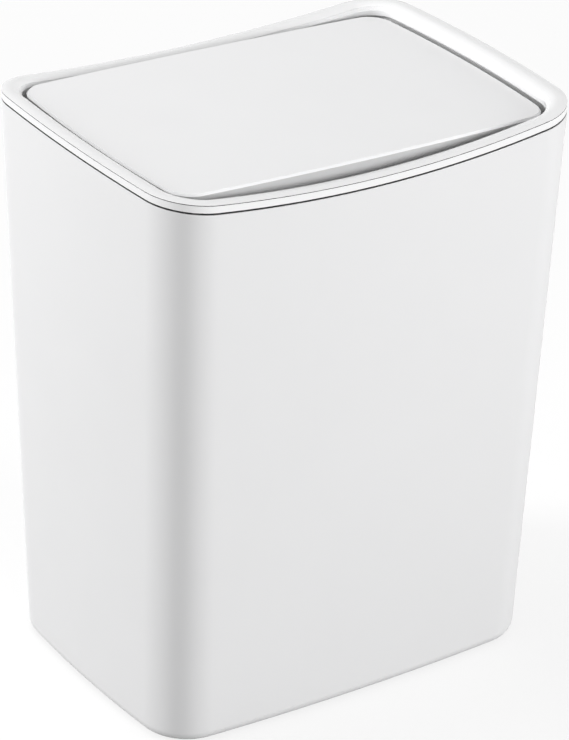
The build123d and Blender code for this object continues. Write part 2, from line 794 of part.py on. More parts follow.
def make_latch_spring():
    """The spring under the plunger, wound along Z, standing on the housing's floor."""
    low = latch_floor() + latch_wall + seat_gap
    length = plunger_bore_top - seat_gap - low - latch_spring_wire
    points = coil(latch_spring_r, length / latch_spring_turns, latch_spring_turns * 360, 0)
    points = [Vector(p.Y, p.Z, p.X) for p in points]
    path = Wire(quarter_arcs(points))
    ring = Plane(origin=path @ 0, z_dir=path % 0) * Circle(latch_spring_wire / 2)
    print("latch spring, least gap", round(least_gap(points, latch_spring_wire), 2))
    return Pos(0, latch_y, low + latch_spring_wire / 2) * sweep(ring, path=path)


PIECES = {
    "bin_body": make_bin_body,
    "frame_collar": make_frame_collar,
    "frame_bezel": make_frame_bezel,
    "flap_cover": make_flap_cover,
    "flap_liner": make_flap_liner,
    "liner_screws": make_liner_screws,
    "strike_plate": make_strike_plate,
    "strike_rivets": make_strike_rivets,
    "hinge_rod": make_hinge_rod,
    "rod_clips": make_rod_clips,
    "hinge_bracket_left": lambda: make_hinge_bracket(-1),
    "hinge_bracket_right": lambda: make_hinge_bracket(1),
    "bracket_screws": lambda: screws_down(bracket_screw_places(), ledge_top + bracket_foot_t),
    "hinge_spring_left": lambda: make_hinge_spring(-1),
    "hinge_spring_right": lambda: make_hinge_spring(1),
    "latch_housing": make_latch_housing,
    "latch_cover": make_latch_cover,
    "latch_screws": lambda: screws_down(latch_screw_places(), ledge_top + latch_flange_t),
    "latch_pin": make_latch_pin,
    "latch_spring": make_latch_spring,
    "latch_plunger": make_latch_plunger,
    "latch_magnet": make_latch_magnet,
}

os.makedirs("parts", exist_ok=True)
for name, make in PIECES.items():
    export_step(make(), f"parts/{name}.step")
    print("made", name)
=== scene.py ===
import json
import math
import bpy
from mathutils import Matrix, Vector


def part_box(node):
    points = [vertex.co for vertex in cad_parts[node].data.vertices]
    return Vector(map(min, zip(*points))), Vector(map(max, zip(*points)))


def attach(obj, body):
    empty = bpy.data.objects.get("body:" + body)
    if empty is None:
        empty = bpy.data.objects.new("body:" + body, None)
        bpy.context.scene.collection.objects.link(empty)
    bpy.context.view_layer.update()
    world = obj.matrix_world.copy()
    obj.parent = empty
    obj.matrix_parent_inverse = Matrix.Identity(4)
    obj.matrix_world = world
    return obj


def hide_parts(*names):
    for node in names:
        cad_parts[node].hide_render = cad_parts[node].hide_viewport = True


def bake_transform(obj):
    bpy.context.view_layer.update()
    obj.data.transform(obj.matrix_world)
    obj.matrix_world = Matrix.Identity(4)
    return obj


bl_info = {
    "name": "Touch Top Bin",
    "version": (1, 0, 0),
    "blender": (4, 5, 0),
    "location": "3D View > Sidebar > Touch Top Bin",
    "description": "Finished shells, springs, screws and materials for a touch top kitchen bin",
    "category": "Object",
}

import bmesh
import bpy
from bpy.props import FloatProperty, FloatVectorProperty, IntProperty, PointerProperty
from mathutils import Matrix, Vector

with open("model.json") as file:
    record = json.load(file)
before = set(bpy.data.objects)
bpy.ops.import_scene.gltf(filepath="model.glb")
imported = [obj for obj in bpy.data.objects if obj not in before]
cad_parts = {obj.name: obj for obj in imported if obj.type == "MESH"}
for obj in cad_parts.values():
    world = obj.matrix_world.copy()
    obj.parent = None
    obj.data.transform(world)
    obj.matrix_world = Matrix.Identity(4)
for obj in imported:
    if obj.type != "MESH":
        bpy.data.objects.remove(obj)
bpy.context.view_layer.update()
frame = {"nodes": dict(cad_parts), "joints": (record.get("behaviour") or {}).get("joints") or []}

MM = 0.001

cap_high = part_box("frame_bezel")[1]
flap_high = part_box("flap_cover")[1]
latch_coil_low, latch_coil_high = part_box("latch_spring")
bracket_low, bracket_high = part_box("hinge_bracket_right")
hinge = Vector(next(j["pos_m"] for j in frame["joints"] if j["name"] == "flap_open"))


# Settings

class BinSizes(bpy.types.PropertyGroup):
    """Sizes of the body and of the frame round its lid"""

    rim_half_w: FloatProperty(
        name="Rim Half Width", description="From the middle to the side of the rim",
        default=cap_high.x, unit="LENGTH")
    rim_half_d: FloatProperty(
        name="Rim Half Depth", description="From the middle to the front of the rim",
        default=cap_high.y, unit="LENGTH")
    base_half_w: FloatProperty(
        name="Base Half Width", description="From the middle to the side of the base",
        default=101.7 * MM, unit="LENGTH")
    base_half_d: FloatProperty(
        name="Base Half Depth", description="From the middle to the front of the base",
        default=142.6 * MM, unit="LENGTH")
    height: FloatProperty(
        name="Seam Height", description="Height of the seam at the front and back edges",
        default=374 * MM, unit="LENGTH")
    side_bow: FloatProperty(
        name="Side Bow", description="How far each side swells between its corners",
        default=5.88 * MM, unit="LENGTH")
    corner_radius: FloatProperty(
        name="Corner Radius", description="Radius of the upright corners",
        default=33.4 * MM, unit="LENGTH")
    rim_dip: FloatProperty(
        name="Rim Dip", description="How far the rim falls in the middle of the long sides",
        default=10.72 * MM, unit="LENGTH")
    wall: FloatProperty(
        name="Wall", description="Wall thickness of the body", default=2.4 * MM, unit="LENGTH")
    seam_gap: FloatProperty(
        name="Seam Gap", description="Dark line between the body and the frame",
        default=1.1 * MM, unit="LENGTH")
    base_edge: FloatProperty(
        name="Base Edge", description="Radius of the edge round the base",
        default=7.85 * MM, unit="LENGTH")
    foot_width: FloatProperty(
        name="Foot Width", description="Width of the ring that the bin stands on",
        default=7 * MM, unit="LENGTH")
    foot_height: FloatProperty(
        name="Foot Height", description="Depth of the hollow under the base",
        default=3 * MM, unit="LENGTH")
    rib_width: FloatProperty(
        name="Rib Width", description="Width of the ribs under the base",
        default=2 * MM, unit="LENGTH")
    rib_lift: FloatProperty(
        name="Rib Lift", description="Height of the ribs above the ground",
        default=0.8 * MM, unit="LENGTH")
    rib_step: FloatProperty(
        name="Rib Step", description="From one rib under the base to the next",
        default=60 * MM, unit="LENGTH")
    floor_thickness: FloatProperty(
        name="Floor", description="Thickness of the floor of the bin",
        default=3 * MM, unit="LENGTH")
    side_steps: IntProperty(
        name="Side Steps", description="Mesh steps along half of each side", default=22, min=4)
    corner_steps: IntProperty(
        name="Corner Steps", description="Mesh steps round each corner", default=28, min=6)


class CapSizes(bpy.types.PropertyGroup):
    """Section of the frame's cap, inwards from the rim and upwards from the seam"""

    under: FloatProperty(
        name="Underside", description="Height of the outer edge's underside",
        default=5.42 * MM, unit="LENGTH")
    edge: FloatProperty(
        name="Edge Radius", description="Round of the outer and inner edges",
        default=0.8 * MM, unit="LENGTH")
    edge_top: FloatProperty(
        name="Edge Top", description="Where the outer edge goes over into the dome",
        default=5.7 * MM, unit="LENGTH")
    peak_in: FloatProperty(
        name="Peak Inset", description="From the rim to the middle of the dome",
        default=6.6 * MM, unit="LENGTH")
    peak: FloatProperty(
        name="Peak", description="Height of the dome", default=5.95 * MM, unit="LENGTH")
    step_in: FloatProperty(
        name="Step Inset", description="From the rim to the fine step",
        default=10.8 * MM, unit="LENGTH")
    step_foot: FloatProperty(
        name="Step Foot", description="Height of the foot of the fine step",
        default=4.35 * MM, unit="LENGTH")
    step: FloatProperty(
        name="Step", description="Height of the fine step", default=0.25 * MM, unit="LENGTH")
    inner_in: FloatProperty(
        name="Inner Inset", description="From the rim to the opening",
        default=12.8 * MM, unit="LENGTH")
    inner_top: FloatProperty(
        name="Inner Top", description="Height of the rounded inner lip",
        default=3.2 * MM, unit="LENGTH")
    follow: FloatProperty(
        name="Saddle Follow",
        description="How far the inner lip follows the saddle at its own place",
        default=0.8, min=0.0, max=1.0)
    lip_bottom: FloatProperty(
        name="Lip Bottom", description="Lower edge of the inner lip",
        default=-0.8 * MM, unit="LENGTH")
    lip: FloatProperty(
        name="Lip", description="Thickness of the inner lip", default=1.6 * MM, unit="LENGTH")
    wall: FloatProperty(
        name="Wall", description="Thickness of the cap", default=1.6 * MM, unit="LENGTH")
    spigot_in: FloatProperty(
        name="Spigot Inset", description="From the rim to the spigot",
        default=1.9 * MM, unit="LENGTH")
    spigot: FloatProperty(
        name="Spigot", description="Thickness of the spigot", default=1.5 * MM, unit="LENGTH")
    spigot_bottom: FloatProperty(
        name="Spigot Bottom", description="Lower end of the spigot",
        default=1.83 * MM, unit="LENGTH")


class Fittings(bpy.types.PropertyGroup):
    """Springs and screws"""

    hinge_wire: FloatProperty(
        name="Hinge Spring Wire", description="Diameter of the wire", default=1 * MM, unit="LENGTH")
    hinge_coil: FloatProperty(
        name="Hinge Spring Radius", description="Middle radius of the coil",
        default=3.5 * MM, unit="LENGTH")
    hinge_pitch: FloatProperty(
        name="Hinge Spring Pitch", description="From one turn to the next",
        default=1.5 * MM, unit="LENGTH")
    hinge_wind: FloatProperty(
        name="Hinge Spring Wind", description="Angle from one leg round to the other",
        default=math.radians(1675), subtype="ANGLE")
    hinge_outer: FloatProperty(
        name="Hinge Spring Place", description="From the middle to the outer end of the coil",
        default=28.4 * MM, unit="LENGTH")
    moving_leg: FloatProperty(
        name="Moving Leg", description="Length of the leg under the flap",
        default=22 * MM, unit="LENGTH")
    leg_lift: FloatProperty(
        name="Leg Lift", description="Gap between the other leg and the ledge",
        default=0.3 * MM, unit="LENGTH")
    latch_wire: FloatProperty(
        name="Latch Spring Wire", description="Diameter of the wire",
        default=0.8 * MM, unit="LENGTH")
    latch_coil: FloatProperty(
        name="Latch Spring Radius", description="Middle radius of the coil",
        default=2.7 * MM, unit="LENGTH")
    latch_turns: IntProperty(
        name="Latch Spring Turns", description="Number of turns, the closed ends among them",
        default=7, min=3)
    head_radius: FloatProperty(
        name="Screw Head Radius", description="Radius of the pan heads",
        default=2.8 * MM, unit="LENGTH")
    head_height: FloatProperty(
        name="Screw Head Height", description="Height of the pan heads",
        default=1.7 * MM, unit="LENGTH")
    shank_radius: FloatProperty(
        name="Shank Radius", description="Outer radius of the thread",
        default=1.4 * MM, unit="LENGTH")
    shank: FloatProperty(
        name="Shank", description="Length of the screws in the frame",
        default=8 * MM, unit="LENGTH")
    liner_shank: FloatProperty(
        name="Flap Shank", description="Length of the screws in the flap",
        default=6.6 * MM, unit="LENGTH")


class FlapSizes(bpy.types.PropertyGroup):
    """Sizes of the flap"""

    half_w: FloatProperty(
        name="Half Width", description="From the middle to the side of the flap",
        default=flap_high.x, unit="LENGTH")
    half_d: FloatProperty(
        name="Half Depth", description="From the middle to the front of the flap",
        default=137.8 * MM, unit="LENGTH")
    bow_w: FloatProperty(
        name="Side Bow", description="How far the long edges swell", default=3 * MM, unit="LENGTH")
    bow_d: FloatProperty(
        name="End Bow", description="How far the short edges swell", default=5 * MM, unit="LENGTH")
    corner_radius: FloatProperty(
        name="Corner Radius", description="Radius of the corners of the flap",
        default=17.2 * MM, unit="LENGTH")
    mid_height: FloatProperty(
        name="Height", description="Height of the middle of the top face",
        default=373 * MM, unit="LENGTH")
    tilt: FloatProperty(
        name="Tilt", description="How far the front edge stands up",
        default=math.radians(0.8), subtype="ANGLE")
    front_rise: FloatProperty(
        name="Front Rise", description="How much thicker the flap's top is at its front edge",
        default=1.45 * MM, unit="LENGTH")
    bevel_in: FloatProperty(
        name="Bevel Width", description="Width of the bevel round the top",
        default=1.2 * MM, unit="LENGTH")
    bevel_down: FloatProperty(
        name="Bevel Height", description="Height of the bevel round the top",
        default=1.35 * MM, unit="LENGTH")
    plate: FloatProperty(
        name="Plate", description="Thickness of the top", default=2.2 * MM, unit="LENGTH")
    skirt: FloatProperty(
        name="Skirt", description="Height of the skirt at the front and sides",
        default=12 * MM, unit="LENGTH")
    back_skirt: FloatProperty(
        name="Back Skirt", description="Height of the skirt over the hinge",
        default=6.2 * MM, unit="LENGTH")
    back_cut: FloatProperty(
        name="Back Cut", description="Where the lower skirt over the hinge starts",
        default=hinge.y - 12.5 * MM, unit="LENGTH")
    skirt_wall: FloatProperty(
        name="Skirt Wall", description="Thickness of the skirt", default=2 * MM, unit="LENGTH")


class Finishes(bpy.types.PropertyGroup):
    """Colours and surface of the mouldings and the metal, and the painted shade in the mouldings'
    gaps and on the flap's sides
    """

    body: FloatVectorProperty(
        name="Body", description="Satin white of the body",
        default=(0.87, 0.87, 0.875), subtype="COLOR", size=3)
    cap: FloatVectorProperty(
        name="Cap", description="Glossy white of the top of the lid frame",
        default=(0.855, 0.855, 0.859), subtype="COLOR", size=3)
    collar: FloatVectorProperty(
        name="Collar", description="Glossy white of the band round the lid frame",
        default=(0.97, 0.97, 0.973), subtype="COLOR", size=3)
    flap: FloatVectorProperty(
        name="Flap", description="Satin white of the flap",
        default=(0.88, 0.88, 0.885), subtype="COLOR", size=3)
    liner: FloatVectorProperty(
        name="Flap Liner", description="White of the underside of the flap",
        default=(0.84, 0.84, 0.845), subtype="COLOR", size=3)
    latch: FloatVectorProperty(
        name="Latch", description="Grey of the latch and hinge brackets",
        default=(0.45, 0.46, 0.47), subtype="COLOR", size=3)
    plunger: FloatVectorProperty(
        name="Plunger", description="White of the latch plunger",
        default=(0.86, 0.86, 0.86), subtype="COLOR", size=3)
    grain: FloatProperty(
        name="Grain", description="Size of the texture of the mouldings",
        default=0.5 * MM, unit="LENGTH")
    # painted shade in the narrow gaps of the mouldings: its reach and its strength
    gap_shade_reach: FloatProperty(
        name="Gap Reach", description="How near another face stands where a gap looks dark",
        default=3.2 * MM, unit="LENGTH")
    gap_shade_depth: FloatProperty(
        name="Gap Depth", description="How much darker a narrow gap is", default=1.8, min=0.0)
    # painted shade in the seam round the collar: its reach and its strength
    seam_shade_reach: FloatProperty(
        name="Seam Reach", description="How near another face stands where the collar looks dark",
        default=3 * MM, unit="LENGTH")
    seam_shade_depth: FloatProperty(
        name="Seam Depth", description="How much darker the collar is inside the seam",
        default=2.6, min=0.0)
    # painted shade in the gap round the flap: its reach and its strength
    flap_shade_reach: FloatProperty(
        name="Flap Gap Reach", description="How near another face stands where the flap looks dark",
        default=2 * MM, unit="LENGTH")
    flap_shade_depth: FloatProperty(
        name="Flap Gap Depth", description="How much darker the flap is inside its gap",
        default=2.4, min=0.0)
    # painted shade: the flap's skirt and its other side faces get this share of its white
    skirt: FloatProperty(
        name="Skirt", description="Share of the flap's white that its skirt has", default=0.62,
        min=0.0, max=1.0)


class Studio(bpy.types.PropertyGroup):
    """Camera, lamps and floor"""

    azimuth: FloatProperty(
        name="Azimuth", description="Camera angle round the bin",
        default=math.radians(55.99), subtype="ANGLE")
    elevation: FloatProperty(
        name="Elevation", description="Camera angle above the horizon",
        default=math.radians(27.38), subtype="ANGLE")
    distance: FloatProperty(
        name="Distance", description="From the camera to its target", default=2.3905, unit="LENGTH")
    target_height: FloatProperty(
        name="Target Height", description="Height that the camera looks at",
        default=0.187, unit="LENGTH")
    roll: FloatProperty(
        name="Roll", description="Turn of the camera about its own axis",
        default=math.radians(1.43), subtype="ANGLE")
    lens: FloatProperty(
        name="Lens", description="Focal length in millimetres on a 36 mm sensor", default=183.2)
    shift_x: FloatProperty(
        name="Shift X", description="Share of the long side that the picture shifts",
        default=0.0095)
    shift_y: FloatProperty(
        name="Shift Y", description="Share of the long side that the picture shifts",
        default=0.0015)
    front_left: FloatProperty(
        name="Front Left Lamp", description="Power of the soft lamp before the short side",
        default=49.0, subtype="POWER")
    front_high: FloatProperty(
        name="High Front Lamp", description="Power of the soft lamp that reaches over the rim",
        default=15.5, subtype="POWER")
    front_right: FloatProperty(
        name="Front Right Lamp", description="Power of the soft lamp that faces the near corner",
        default=31.5, subtype="POWER")
    right: FloatProperty(
        name="Right Lamp", description="Power of the soft lamp before the long side",
        default=36.7, subtype="POWER")
    top: FloatProperty(
        name="Top Lamp", description="Power of the soft lamp over the flap", default=14.2,
        subtype="POWER")
    lamp_size: FloatProperty(
        name="Lamp Size", description="Side of the square soft lamps", default=0.9, unit="LENGTH")
    sky: FloatProperty(
        name="Sky", description="Brightness of the light from all round", default=0.16)
    floor_colour: FloatProperty(
        name="Floor", description="Share of the light that the floor gives back", default=0.23)
    floor_white: FloatProperty(
        name="Floor White", description="White that the camera sees on the floor", default=0.78)


# Outlines

def quarter_outline(half_w, half_d, bow_w, bow_d, corner, inset, steps, corner_steps):
    """Points of the outline from +X to +Y, through one round corner."""
    long_r = (half_d**2 + bow_w**2) / (2 * bow_w)
    short_r = (half_w**2 + bow_d**2) / (2 * bow_d)
    ax, by = half_w - long_r, half_d - short_r
    a, b = long_r - corner, short_r - corner
    d = math.hypot(ax, by)
    along = (a * a - b * b + d * d) / (2 * d)
    off = math.sqrt(a * a - along * along)
    cx = ax + (along * -ax + off * abs(by)) / d
    cy = (along * by + off * abs(ax)) / d
    long_end = math.atan2(cy, cx - ax)
    short_end = math.atan2(cy - by, cx)
    arcs = [
        (ax, 0.0, long_r, 0.0, long_end, steps),
        (cx, cy, corner, long_end, short_end, corner_steps),
        (0.0, by, short_r, short_end, math.pi / 2, steps),
    ]
    points = []
    for x, y, r, start, end, count in arcs:
        for i in range(count):
            t = start + (end - start) * i / count
            points.append((x + (r - inset) * math.cos(t), y + (r - inset) * math.sin(t)))
    points.append((0.0, half_d - inset))
    return points


def full_outline(quarter):
    """The closed outline, counter-clockwise, from its first quarter."""
    second = [(-x, y) for x, y in reversed(quarter[:-1])]
    half = quarter + second
    return half + [(x, -y) for x, y in reversed(half[1:-1])]


def rim_outline(sizes, inset):
    """The outline of the rim, drawn in by inset."""
    return full_outline(quarter_outline(
        sizes.rim_half_w, sizes.rim_half_d, sizes.side_bow, sizes.side_bow, sizes.corner_radius,
        inset, sizes.side_steps, sizes.corner_steps))


def flap_outline(flap, sizes, inset):
    """The outline of the flap with as many points as the rim's, drawn in by inset."""
    return full_outline(quarter_outline(
        flap.half_w, flap.half_d, flap.bow_w, flap.bow_d, flap.corner_radius,
        inset, sizes.side_steps, sizes.corner_steps))


def seam(sizes, y):
    """Height of the saddle-shaped seam at a distance from the middle."""
    r = (sizes.rim_half_d**2 + sizes.rim_dip**2) / (2 * sizes.rim_dip)
    return sizes.height - sizes.rim_dip + r - math.sqrt(r * r - y * y)


class BodyForm:
    """The tapered form of the body, straight from the outline of its base to that of its top."""

    def __init__(self, sizes):
        self.sizes = sizes
        share = sizes.height / (sizes.height - sizes.rim_dip)
        self.top_half_w = sizes.base_half_w + (sizes.rim_half_w - sizes.base_half_w) * share
        self.cache = {}

    def level(self, inset):
        """The outlines of the base and of the top, drawn in by inset."""
        if inset not in self.cache:
            s = self.sizes
            self.cache[inset] = [
                full_outline(quarter_outline(
                    half_w, half_d, s.side_bow, s.side_bow, s.corner_radius, inset,
                    s.side_steps, s.corner_steps))
                for half_w, half_d in (
                    (s.base_half_w, s.base_half_d), (self.top_half_w, s.rim_half_d))
            ]
        return self.cache[inset]

    def ring(self, inset, height):
        """Points drawn in by inset, at a height or at a height that a function gives for y."""
        base, top = self.level(inset)
        points = []
        for (x0, y0), (x1, y1) in zip(base, top):
            z = height(y1) if callable(height) else height
            t = z / self.sizes.height
            points.append(Vector((x0 + (x1 - x0) * t, y0 + (y1 - y0) * t, z)))
        return points


# Meshes

class Skin:
    """A mesh made of rings with the same number of points, joined by quads."""

    def __init__(self):
        self.points = []
        self.faces = []

    def ring(self, points):
        start = len(self.points)
        self.points.extend(points)
        return range(start, start + len(points))

    def bridge(self, a, b):
        n = len(a)
        for i in range(n):
            j = (i + 1) % n
            self.faces.append((a[i], a[j], b[j], b[i]))

    def sheet(self, rings, loop=False):
        """Joins each ring to the next, and the last to the first where the section is closed."""
        made = [self.ring(r) for r in rings]
        for a, b in zip(made, made[1:]):
            self.bridge(a, b)
        if loop:
            self.bridge(made[-1], made[0])
        return made

    def fill(self, ring):
        self.faces.append(tuple(ring))

    def bar(self, a, b, half, low, high, soft):
        """A rib from a to b in the ground plane, its lower edges rounded off."""
        along = (b - a).normalized()
        side = Vector((-along.y, along.x))
        section = [(-half, high), (-half, low + soft), (soft - half, low),
                   (half - soft, low), (half, low + soft), (half, high)]
        ends = []
        for p in (a, b):
            ends.append(self.ring([Vector((*(p + side * w), z)) for w, z in section]))
        self.bridge(*ends)
        self.fill(reversed(ends[0]))
        self.fill(ends[1])

    def wire(self, points, radius, sides=12):
        """A round wire along points, its cut ends rounded off."""
        last = len(points) - 1
        tangents = [
            (points[min(i + 1, last)] - points[max(i - 1, 0)]).normalized()
            for i in range(last + 1)]
        turns = [2 * math.pi * k / sides for k in range(sides)]
        soft = radius * 0.3
        normal = tangents[0].orthogonal().normalized()
        made = []
        for i, (point, tangent) in enumerate(zip(points, tangents)):
            normal = (normal - tangent * normal.dot(tangent)).normalized()
            across = tangent.cross(normal)
            steps = [(0.0, radius)]
            if i == 0:
                steps = [(0.0, radius - soft), (soft, radius)]
            elif i == last:
                steps = [(-soft, radius), (0.0, radius - soft)]
            for shift, r in steps:
                made.append(self.ring([
                    point + tangent * shift + (normal * math.cos(t) + across * math.sin(t)) * r
                    for t in turns]))
        for a, b in zip(made, made[1:]):
            self.bridge(a, b)
        self.fill(reversed(made[0]))
        self.fill(made[-1])

    def build(self, name, material, sharp=35.0):
        mesh = bpy.data.meshes.new(name)
        mesh.from_pydata([tuple(p) for p in self.points], [], [tuple(f) for f in self.faces])
        mesh.validate()
        form = bmesh.new()
        form.from_mesh(mesh)
        bmesh.ops.recalc_face_normals(form, faces=form.faces)
        form.to_mesh(mesh)
        form.free()
        mesh.polygons.foreach_set("use_smooth", [True] * len(mesh.polygons))
        mesh.set_sharp_from_angle(angle=math.radians(sharp))
        mesh.materials.append(material)
        mesh.update()
        obj = bpy.data.objects.new(name, mesh)
        bpy.context.scene.collection.objects.link(obj)
        return obj


def even_faces(obj):
    """Shades large faces flat up to the small rounds beside them."""
    weighted = obj.modifiers.new("even_faces", "WEIGHTED_NORMAL")
    weighted.weight = 100
    weighted.keep_sharp = True


def quarter_turn(steps, first=0):
    """Pairs of 1 - sine and 1 - cosine along a quarter turn, for round edges."""
    angles = [math.pi / 2 * i / steps for i in range(first, steps + 1)]
    return [(1 - math.sin(a), 1 - math.cos(a)) for a in angles]


def bend(start, corner, end, steps=4):
    """Points of a round bend between two sides of a corner."""
    return [corner + (start - corner) * s + (end - corner) * c for s, c in quarter_turn(steps)]


def circle_through(a, b, c):
    """Centre and radius of the circle through three points of a plane."""
    d = 2 * (a.x * (b.y - c.y) + b.x * (c.y - a.y) + c.x * (a.y - b.y))
    x = (a.length_squared * (b.y - c.y) + b.length_squared * (c.y - a.y)
         + c.length_squared * (a.y - b.y)) / d
    y = (a.length_squared * (c.x - b.x) + b.length_squared * (a.x - c.x)
         + c.length_squared * (b.x - a.x)) / d
    centre = Vector((x, y))
    return centre, (a - centre).length


def arc_between(start, middle, end, steps):
    """Points of the arc through three points, without the first."""
    centre, radius = circle_through(start, middle, end)
    a = math.atan2(start.y - centre.y, start.x - centre.x)
    b = math.atan2(end.y - centre.y, end.x - centre.x)
    angles = [a + (b - a) * i / steps for i in range(1, steps + 1)]
    return [centre + Vector((math.cos(t), math.sin(t))) * radius for t in angles]


def round_corner(a, corner, b, radius, steps=4):
    """Points of a small arc that rounds one corner of a section."""
    to_a = (a - corner).normalized()
    to_b = (b - corner).normalized()
    half = to_a.angle(to_b) / 2
    back = radius / math.tan(half)
    centre = corner + (to_a + to_b).normalized() * (radius / math.sin(half))
    start, end = corner + to_a * back - centre, corner + to_b * back - centre
    turn = math.pi - 2 * half
    side = 1 if start.x * end.y - start.y * end.x > 0 else -1
    points = []
    for i in range(steps + 1):
        angle = side * turn * i / steps
        c, s = math.cos(angle), math.sin(angle)
        points.append(centre + Vector((start.x * c - start.y * s, start.x * s + start.y * c)))
    return points


def rounded(section):
    """A section of (point, radius) pairs as plain points, rounded where the radius isn't 0."""
    points = [Vector(point) for point, _ in section]
    made = []
    for i, (_, radius) in enumerate(section):
        if radius:
            made.extend(round_corner(points[i - 1], points[i], points[i + 1], radius))
        else:
            made.append(points[i])
    return made


def drawn_in(points, shares):
    """A ring's points again and again, at each share of their way from the middle."""
    return [[Vector((p.x * share, p.y * share, p.z)) for p in points] for share in shares]


def place(obj, body, node):
    """Fixes a piece to its body and hides the solid that it stands for."""
    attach(obj, body)
    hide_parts(node)


# Materials

# Shares of its range that a noise mostly keeps to
NOISE_LOW, NOISE_HIGH = 0.3, 0.7
# Upward part of a face's normal for the painted side shade: a side up to the first, a top from the
# second on
SIDE_NORMAL, TOP_NORMAL = 0.15, 0.45
# Rays that look for close faces, for the painted shade in gaps, and for edges
NEAR_RAYS = 4
PLASTIC_IOR = 1.49
COAT_ROUGHNESS = 0.08

# Scale per metre and detail of each pattern, and how far it moves colour and roughness
CLOUDS, CLOUD_TINT = (14.0, 2.0), 0.006
GRAIN_DETAIL, GRAIN_SPREAD = 3.0, 0.03
DRAWN_LINES, LINE_CHANGE, LINE_STRETCH = (2600.0, 4.0), 0.08, 0.04
SPECKS, SPECK_TINT = (1800.0, 5.0), 0.35

SPRING_GREY = (0.5, 0.5, 0.52)
FERRITE_GREY = (0.05, 0.05, 0.055)


def new_material(name):
    """A material, its node tree and its shader."""
    material = bpy.data.materials.new(name)
    material.use_nodes = True
    tree = material.node_tree
    return material, tree, tree.nodes["Principled BSDF"]


def feed(tree, node, inputs):
    """Links each input to the socket that is given for it, or sets it to the value."""
    for name, value in inputs.items():
        if isinstance(value, bpy.types.NodeSocket):
            tree.links.new(value, node.inputs[name])
        else:
            node.inputs[name].default_value = value


def add_node(tree, kind, inputs=None, **settings):
    """A new node with its inputs fed, after its settings have given it its sockets."""
    node = tree.nodes.new("ShaderNode" + kind)
    for name, value in settings.items():
        setattr(node, name, value)
    feed(tree, node, inputs or {})
    return node


def noise(tree, scale, detail, stretch=(1, 1, 1)):
    """A noise in the object's own space, so that it stays on the piece as the piece moves."""
    coords = add_node(tree, "TexCoord")
    mapping = add_node(tree, "Mapping", {"Vector": coords.outputs["Object"], "Scale": stretch})
    texture = add_node(tree, "TexNoise", {
        "Vector": mapping.outputs["Vector"], "Scale": scale, "Detail": detail})
    return texture.outputs["Fac"]


def spread(tree, value, low, high):
    """A noise brought to the range from low to high."""
    node = add_node(tree, "MapRange", {
        "Value": value, "From Min": NOISE_LOW, "From Max": NOISE_HIGH,
        "To Min": low, "To Max": high})
    return node.outputs["Result"]


def tinted(tree, value, colour, change):
    """The colour, a little lighter and darker as a noise says."""
    ramp = add_node(tree, "ValToRGB", {"Fac": value})
    ends = ((NOISE_LOW, 1 - change), (NOISE_HIGH, 1 + change))
    for element, (position, factor) in zip(ramp.color_ramp.elements, ends):
        element.position = position
        element.color = [min(1.0, c * factor) for c in colour] + [1]
    return ramp.outputs["Color"]


def bumped(tree, shader, value, depth, strength=1.0):
    bump = add_node(tree, "Bump", {"Strength": strength, "Distance": depth, "Height": value})
    tree.links.new(bump.outputs["Normal"], shader.inputs["Normal"])
    return bump


def scaled(tree, colour, factor):
    node = add_node(tree, "VectorMath", {0: colour, "Scale": factor}, operation="SCALE")
    return node.outputs["Vector"]


def painted_gap_shade(tree, colour, reach, depth):
    """The colour with painted shade: darker where another face stands close, as in the gap round
    the flap.
    """
    # painted shade: the ambient occlusion factor, raised to depth, darkens the colour
    near = add_node(tree, "AmbientOcclusion", {"Distance": reach}, samples=NEAR_RAYS)
    shade_factor = add_node(tree, "Math", {0: near.outputs["AO"], 1: depth}, operation="POWER")
    return scaled(tree, colour, shade_factor.outputs[0])


def painted_side_shade(tree, colour, share, reach, depth):
    """The colour on faces that look up, and on the others a share of it as painted shade, with
    painted shade in their gaps too.
    """
    coords = add_node(tree, "TexCoord")
    parts = add_node(tree, "SeparateXYZ", {0: coords.outputs["Normal"]})
    # painted shade: faces that look sideways get the darker share, faces that look up keep the
    # colour
    level = add_node(tree, "MapRange", {
        "Value": parts.outputs["Z"], "From Min": SIDE_NORMAL, "From Max": TOP_NORMAL})
    dark = painted_gap_shade(tree, scaled(tree, colour, share), reach, depth)
    mix = add_node(
        tree, "Mix", {"Factor": level.outputs["Result"], "A": dark, "B": colour},
        data_type="VECTOR")
    return mix.outputs["Result"]


def soft_edges(tree, bump, radius):
    """Lets the sharp edges of a moulding catch the light as if they were rounded."""
    edge = add_node(tree, "Bevel", {"Radius": radius}, samples=NEAR_RAYS)
    tree.links.new(edge.outputs["Normal"], bump.inputs["Normal"])


def moulded_plastic(
        name, finish, colour, roughness, depth, coat=0.0, edge=0.0, gap=None, sides=1.0):
    """Moulded plastic: an even colour with faint clouds in it, painted shade in its narrow gaps
    and, where sides is below 1, on its side faces, over a fine grain.
    """
    material, tree, shader = new_material(name)
    even = tinted(tree, noise(tree, *CLOUDS), colour, CLOUD_TINT)
    # painted shade in narrow gaps: gap holds its reach and its strength
    gap = gap or (finish.gap_shade_reach, finish.gap_shade_depth)
    # sides below 1 paints shade on the side faces as well
    if sides < 1.0:
        even = painted_side_shade(tree, even, sides, *gap)
    else:
        even = painted_gap_shade(tree, even, *gap)
    grain = noise(tree, 1.0 / finish.grain, GRAIN_DETAIL)
    feed(tree, shader, {
        "Base Color": even,
        "Roughness": spread(tree, grain, roughness - GRAIN_SPREAD, roughness + GRAIN_SPREAD),
        "IOR": PLASTIC_IOR, "Coat Weight": coat, "Coat Roughness": COAT_ROUGHNESS})
    bump = bumped(tree, shader, grain, depth)
    if edge:
        soft_edges(tree, bump, edge)
    return material


